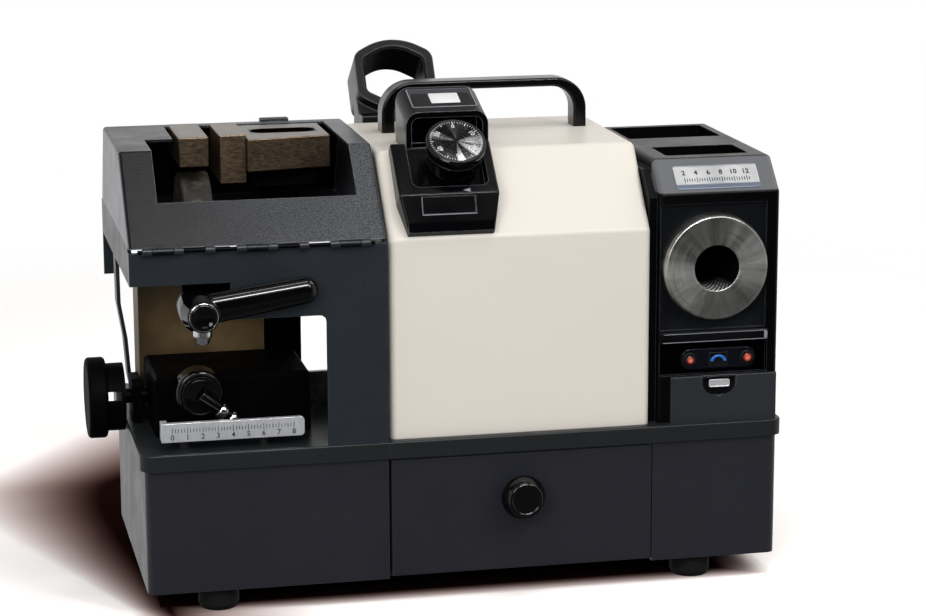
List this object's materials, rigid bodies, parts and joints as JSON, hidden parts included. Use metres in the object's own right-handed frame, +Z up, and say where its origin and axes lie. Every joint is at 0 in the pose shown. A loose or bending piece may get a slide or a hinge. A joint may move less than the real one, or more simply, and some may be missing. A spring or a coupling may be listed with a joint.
{
  "type": "tap and drill grinder",
  "caption": "Bench tap and drill grinder: enclosed motor between a hooded tap fixture with clamp lever and feed knob, and a drill port with push buttons, over a drawer base.",
  "frame": {"origin": "on the bench, under the middle of the base", "axes": "+X to the right as seen from the front, +Y to the back, +Z up"},
  "size_m": [0.462, 0.2655, 0.3494],
  "materials": {
    "base_paint": "dark grey powder coat",
    "cream_paint": "cream powder coat",
    "hood_paint": "fine pebbled dark grey powder coat",
    "black_plastic": "moulded black plastic",
    "gloss_black": "glossy black moulding",
    "rubber": "moulded rubber",
    "steel": "turned and ground steel",
    "bright_steel": "bright plated steel",
    "zinc": "zinc plated steel",
    "cast_metal": "machined cast iron",
    "bronze": "browned bronze with worn edges",
    "brass": "brushed brass sheet",
    "aluminium": "brushed aluminium",
    "abrasive": "bonded abrasive grain",
    "button_red": "translucent orange red lens",
    "board": "coated circuit board"
  },
  "bodies": {
    "machine": {"tap_base": "base_paint", "main_base": "base_paint", "tap_deck": "base_paint", "main_deck": "base_paint", "feet": "rubber", "cap_screws": "zinc", "drawer_runners": "zinc", "main_cover": "cream_paint", "rear_cover": "cream_paint", "carry_handle": "black_plastic", "chuck_holder": "black_plastic", "dial_base": "black_plastic", "dial_visor": "black_plastic", "motor_body": "cast_metal", "motor_end_bells": "aluminium", "shaft_bearings": "bright_steel", "motor_cradle": "cast_metal", "drill_housing": "base_paint", "port_flange": "steel", "port_bush": "steel", "control_panel": "gloss_black", "lower_cover": "base_paint", "power_inlet": "black_plastic", "control_board": "board", "tap_frame": "base_paint", "hinge_pin": "bright_steel", "left_strut": "base_paint", "brass_plate": "brass", "tap_column": "cast_metal", "tap_anvil": "bronze", "lever_bracket": "cast_metal", "scale_bar": "aluminium", "feed_bearing": "steel", "chip_guard": "zinc"},
    "hood": {"hood": "hood_paint", "hinge_barrels": "bright_steel"},
    "drawer": {"drawer_tray": "zinc", "drawer_front": "base_paint", "drawer_knob": "gloss_black", "knob_screw": "zinc"},
    "dial": {"dial_knob": "black_plastic", "dial_plate": "gloss_black", "dial_shaft": "steel"},
    "spindle": {"rotor_shaft": "steel", "rotor_core": "steel", "tap_wheel": "abrasive", "drill_wheel": "abrasive", "wheel_flanges": "steel", "wheel_nuts": "zinc"},
    "lever": {"clamp_lever": "gloss_black", "lever_stud": "steel"},
    "carriage": {"tap_carriage": "base_paint"},
    "lock": {"lock_lever": "gloss_black"},
    "feed": {"feed_knob": "gloss_black", "feed_screw": "steel"},
    "fixture": {"jaw_block": "bronze", "slotted_bar": "bronze"},
    "button_left": {"button_left": "button_red"},
    "button_right": {"button_right": "button_red"},
    "rocker": {"rocker_switch": "black_plastic"}
  },
  "joints": [
    {"name": "drawer_slide", "type": "slide", "parent": "machine", "child": "drawer", "axis": [0, -1, 0], "range_m": [0, 0.12]},
    {"name": "hood_hinge", "type": "hinge", "parent": "machine", "child": "hood", "pos_m": [0, -0.1039, 0.2452], "axis": [1, 0, 0], "range_deg": [0, 100]},
    {"name": "clamp_lever_turn", "type": "hinge", "parent": "machine", "child": "lever", "pos_m": [-0.1768, -0.1013, 0.2043], "axis": [0, -1, 0], "range_deg": [-75, 10]},
    {"name": "carriage_slide", "type": "slide", "parent": "machine", "child": "carriage", "axis": [1, 0, 0], "range_m": [-0.004, 0.004]},
    {"name": "lock_lever_turn", "type": "hinge", "parent": "carriage", "child": "lock", "pos_m": [-0.1746, -0.055, 0.142], "axis": [0, -1, 0], "range_deg": [0, 110]},
    {"name": "feed_knob_turn", "type": "hinge", "parent": "machine", "child": "feed", "pos_m": [-0.219, 0, 0.126], "axis": [1, 0, 0], "range_deg": [-361, 361]},
    {"name": "dial_turn", "type": "hinge", "parent": "machine", "child": "dial", "pos_m": [-0.0035, -0.06643, 0.28926], "axis": [0, -0.6014, 0.799], "range_deg": [-150, 150]},
    {"name": "spindle_spin", "type": "hinge", "parent": "machine", "child": "spindle", "pos_m": [0, 0.02, 0.24], "axis": [1, 0, 0], "continuous": true},
    {"name": "fixture_slide", "type": "slide", "parent": "machine", "child": "fixture", "axis": [1, 0, 0], "range_m": [-0.005, 0.002]},
    {"name": "button_left_push", "type": "slide", "parent": "machine", "child": "button_left", "axis": [0, 1, 0], "range_m": [0, 0.002], "stiffness_N_per_m": 400},
    {"name": "button_right_push", "type": "slide", "parent": "machine", "child": "button_right", "axis": [0, 1, 0], "range_m": [0, 0.002], "stiffness_N_per_m": 400},
    {"name": "rocker_tilt", "type": "hinge", "parent": "machine", "child": "rocker", "pos_m": [0.1735, -0.0916, 0.153], "axis": [1, 0, 0], "range_deg": [-8, 8]}
  ],
  "couplings": [
    {"joint": "feed_knob_turn", "follows": "carriage_slide", "rad_per_m": 1570.8}
  ]
}
